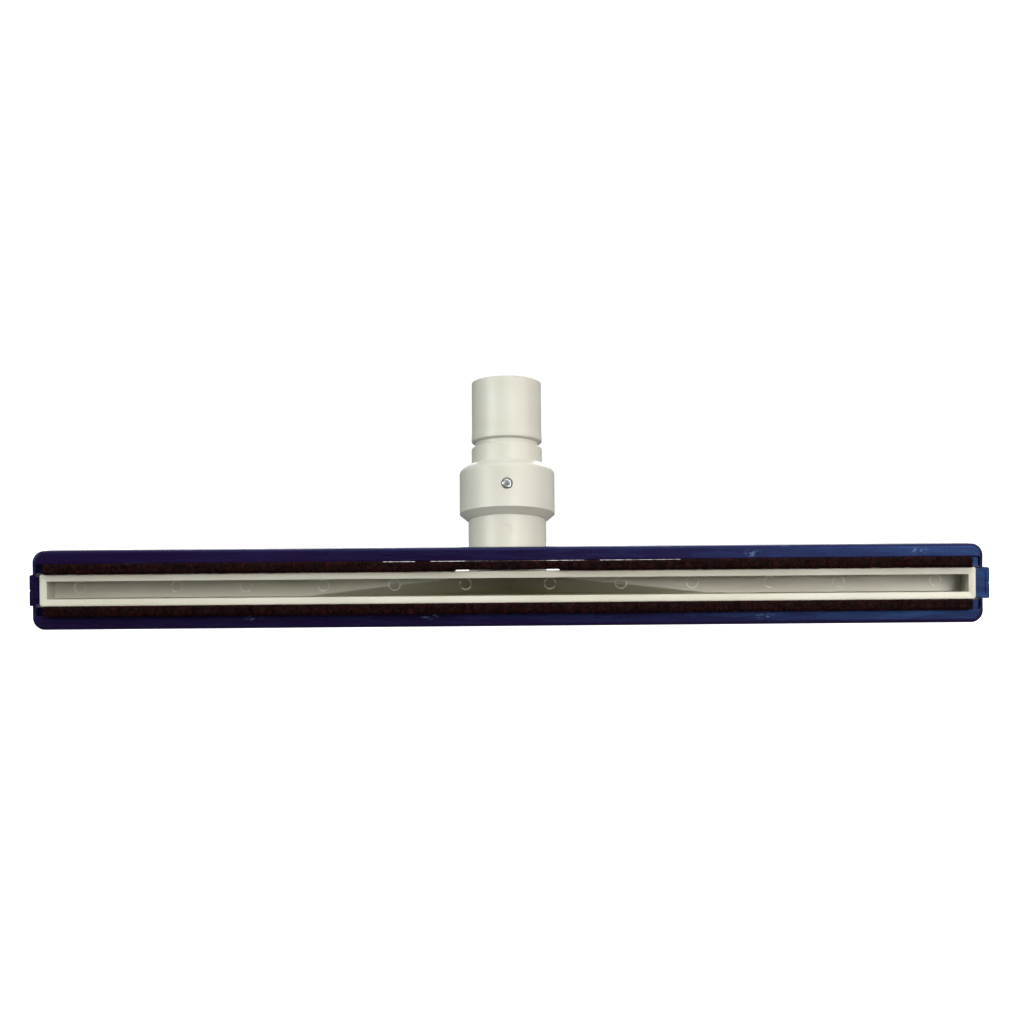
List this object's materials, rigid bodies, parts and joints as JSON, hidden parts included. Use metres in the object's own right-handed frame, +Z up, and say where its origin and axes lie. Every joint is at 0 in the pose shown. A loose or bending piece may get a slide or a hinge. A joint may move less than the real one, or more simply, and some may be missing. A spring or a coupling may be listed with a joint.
{
  "type": "suction brush head",
  "caption": "Long slotted suction head in cream plastic with a navy bumper frame, two dark bristle strips and a swivelling neck that ends in a hose cuff.",
  "frame": {"origin": "centre of the object's box on the surface it stands on, which is the lower long face of the bumper frame", "axes": "+X along the head, +Y from the working face to the back, +Z up towards the hose cuff"},
  "size_m": [0.5048, 0.0979, 0.1345],
  "materials": {
    "cream_plastic": "moulded, satin gloss",
    "neck_plastic": "moulded, satin gloss",
    "collar_plastic": "moulded, satin gloss",
    "cuff_plastic": "moulded, satin gloss",
    "navy_plastic": "moulded, glossy",
    "bristle_fibre": "dense straight bristles",
    "channel_steel": "galvanised sheet",
    "wire_steel": "drawn wire",
    "screw_steel": "zinc plated",
    "seal_rubber": "smooth",
    "washer_plastic": "natural acetal"
  },
  "bodies": {
    "head": {"nozzle_body": "cream_plastic", "swivel_spigot": "cream_plastic", "brush_frame": "navy_plastic", "left_end_clip": "navy_plastic", "right_end_clip": "navy_plastic", "upper_strip_channel": "channel_steel", "lower_strip_channel": "channel_steel", "upper_bristles": "bristle_fibre", "lower_bristles": "bristle_fibre", "upper_core_wire": "wire_steel", "lower_core_wire": "wire_steel", "neck_seal": "seal_rubber", "neck_washer": "washer_plastic"},
    "neck": {"neck_elbow": "neck_plastic", "neck_lock_screws": "screw_steel", "collar": "collar_plastic", "collar_screw": "screw_steel", "cuff_seal": "seal_rubber", "cuff_washer": "washer_plastic"},
    "cuff": {"cuff": "cuff_plastic"}
  },
  "joints": [
    {"name": "neck_swivel", "type": "hinge", "parent": "head", "child": "neck", "pos_m": [0, -0.0045, 0.0168], "axis": [0, 0.766, 0.6428], "continuous": true},
    {"name": "cuff_swivel", "type": "hinge", "parent": "neck", "child": "cuff", "pos_m": [0, 0.01159, 0.0303], "axis": [0, 0.1822, 0.9833], "continuous": true}
  ]
}
